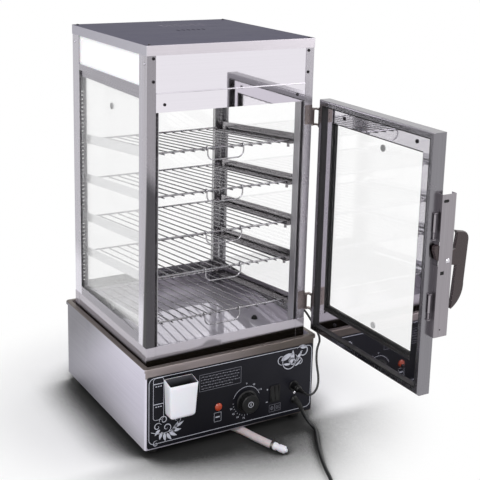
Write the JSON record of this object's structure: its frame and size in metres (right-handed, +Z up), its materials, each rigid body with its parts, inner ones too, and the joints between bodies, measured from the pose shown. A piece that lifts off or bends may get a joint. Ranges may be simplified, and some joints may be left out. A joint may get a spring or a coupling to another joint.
{
  "type": "dumpling steamer",
  "caption": "Glazed steam cabinet with sloping wire racks, open glass door, water bath base, control panel, fill cup, drain hose and coiled mains cord.",
  "frame": {"origin": "centre of the four foot bolt holes, in the plane of the feet's undersides", "axes": "+X to the right seen from the front, +Y to the back, +Z up"},
  "size_m": [0.5117, 0.8527, 0.874],
  "materials": {
    "black_rubber": "dull",
    "satin_steel": "satin",
    "mirror_steel": "mirror polished stainless sheet",
    "dark_steel": "satin, darker",
    "black_panel": "gloss film on sheet",
    "white_plastic": "smooth",
    "black_plastic": "fine grain",
    "amber_lens": "clear tinted",
    "black_cord": "smooth jacket",
    "heater_steel": "dull",
    "brass_fitting": "plain",
    "pink_rubber": "smooth translucent",
    "spring_steel": "plain",
    "opal_glass": "opal and clear",
    "lamp_tube": "frosted",
    "dark_screws": "blackened",
    "chrome_screws": "bright",
    "clear_glass": "clear",
    "hinge_steel": "satin",
    "maroon_plastic": "moulded",
    "chrome_wire": "bright wire"
  },
  "bodies": {
    "cabinet": {"base_bottom": "satin_steel", "base_shell": "satin_steel", "bright_screws": "chrome_screws", "cabinet_glass": "clear_glass", "ceiling_lamp": "lamp_tube", "control_panel": "black_panel", "cord_glands": "black_plastic", "corner_posts": "mirror_steel", "drain_elbow": "brass_fitting", "drain_hose": "pink_rubber", "feet": "black_rubber", "fill_cup": "white_plastic", "floor_tray": "mirror_steel", "frame_screws": "dark_screws", "glass_spacers": "white_plastic", "glazing_bars": "satin_steel", "header_front": "mirror_steel", "heating_element": "heater_steel", "hinge_leaves": "hinge_steel", "hose_clamp": "spring_steel", "hose_plug": "white_plastic", "lamp_cord": "black_cord", "lamp_outlet": "black_plastic", "lamp_plug": "black_plastic", "lid": "dark_steel", "light_box_panes": "opal_glass", "mains_coil": "black_cord", "mains_cord": "black_cord", "mains_plug": "black_plastic", "pilot_lamp": "amber_lens", "rack_rails": "satin_steel", "slot_strips": "satin_steel", "switch_housing": "black_plastic", "thermostat_body": "black_plastic", "tray_plug": "black_rubber", "water_tank": "satin_steel"},
    "door": {"door_frame": "satin_steel", "door_bands": "mirror_steel", "door_seals": "black_rubber", "door_glass": "clear_glass", "door_spacers": "white_plastic", "door_screws": "chrome_screws", "hinge_arms": "hinge_steel", "latch_channel": "satin_steel", "latch_pivot": "chrome_screws", "latch_rods": "spring_steel"},
    "latch": {"latch_lever": "maroon_plastic"},
    "knob": {"thermostat_knob": "black_plastic"},
    "rocker_left": {"rocker_left": "black_plastic"},
    "rocker_right": {"rocker_right": "black_plastic"},
    "rack_1": {"rack_1": "chrome_wire"},
    "handle_1": {"rack_handle_1": "chrome_wire"},
    "rack_2": {"rack_2": "chrome_wire"},
    "handle_2": {"rack_handle_2": "chrome_wire"},
    "rack_3": {"rack_3": "chrome_wire"},
    "handle_3": {"rack_handle_3": "chrome_wire"},
    "rack_4": {"rack_4": "chrome_wire"},
    "handle_4": {"rack_handle_4": "chrome_wire"},
    "rack_5": {"rack_5": "chrome_wire"},
    "handle_5": {"rack_handle_5": "chrome_wire"}
  },
  "joints": [
    {"name": "door_hinge", "type": "hinge", "parent": "cabinet", "child": "door", "pos_m": [0.2003, -0.1942, 0.476], "axis": [0, 0, 1], "range_deg": [-90, 20]},
    {"name": "latch_pivot", "type": "hinge", "parent": "door", "child": "latch", "pos_m": [0.247, -0.598, 0.49], "axis": [0, -1, 0], "range_deg": [0, 6]},
    {"name": "knob_turn", "type": "hinge", "parent": "cabinet", "child": "knob", "pos_m": [0.034, -0.235, 0.081], "axis": [0, -1, 0], "range_deg": [0, 270]},
    {"name": "rocker_left_tilt", "type": "hinge", "parent": "cabinet", "child": "rocker_left", "pos_m": [0.1022, -0.2225, 0.0835], "axis": [1, 0, 0], "range_deg": [0, 16]},
    {"name": "rocker_right_tilt", "type": "hinge", "parent": "cabinet", "child": "rocker_right", "pos_m": [0.1128, -0.2225, 0.0835], "axis": [1, 0, 0], "range_deg": [0, 16]},
    {"name": "rack_1_slide", "type": "slide", "parent": "cabinet", "child": "rack_1", "axis": [0, -0.9945, 0.1045], "range_m": [0, 0.3]},
    {"name": "handle_1_swing", "type": "hinge", "parent": "rack_1", "child": "handle_1", "pos_m": [0.0065, -0.15466, 0.64308], "axis": [-1, 0, 0], "range_deg": [-30, 95]},
    {"name": "rack_2_slide", "type": "slide", "parent": "cabinet", "child": "rack_2", "axis": [0, -0.9945, 0.1045], "range_m": [0, 0.3]},
    {"name": "handle_2_swing", "type": "hinge", "parent": "rack_2", "child": "handle_2", "pos_m": [0.0065, -0.15466, 0.55038], "axis": [-1, 0, 0], "range_deg": [-30, 95]},
    {"name": "rack_3_slide", "type": "slide", "parent": "cabinet", "child": "rack_3", "axis": [0, -0.9945, 0.1045], "range_m": [0, 0.3]},
    {"name": "handle_3_swing", "type": "hinge", "parent": "rack_3", "child": "handle_3", "pos_m": [0.0065, -0.15466, 0.45768], "axis": [-1, 0, 0], "range_deg": [-30, 95]},
    {"name": "rack_4_slide", "type": "slide", "parent": "cabinet", "child": "rack_4", "axis": [0, -0.9945, 0.1045], "range_m": [0, 0.3]},
    {"name": "handle_4_swing", "type": "hinge", "parent": "rack_4", "child": "handle_4", "pos_m": [0.0065, -0.15466, 0.37425], "axis": [-1, 0, 0], "range_deg": [-30, 95]},
    {"name": "rack_5_slide", "type": "slide", "parent": "cabinet", "child": "rack_5", "axis": [0, -0.9945, 0.1045], "range_m": [0, 0.3]},
    {"name": "handle_5_swing", "type": "hinge", "parent": "rack_5", "child": "handle_5", "pos_m": [0.0065, -0.15466, 0.27228], "axis": [-1, 0, 0], "range_deg": [-30, 95]}
  ]
}
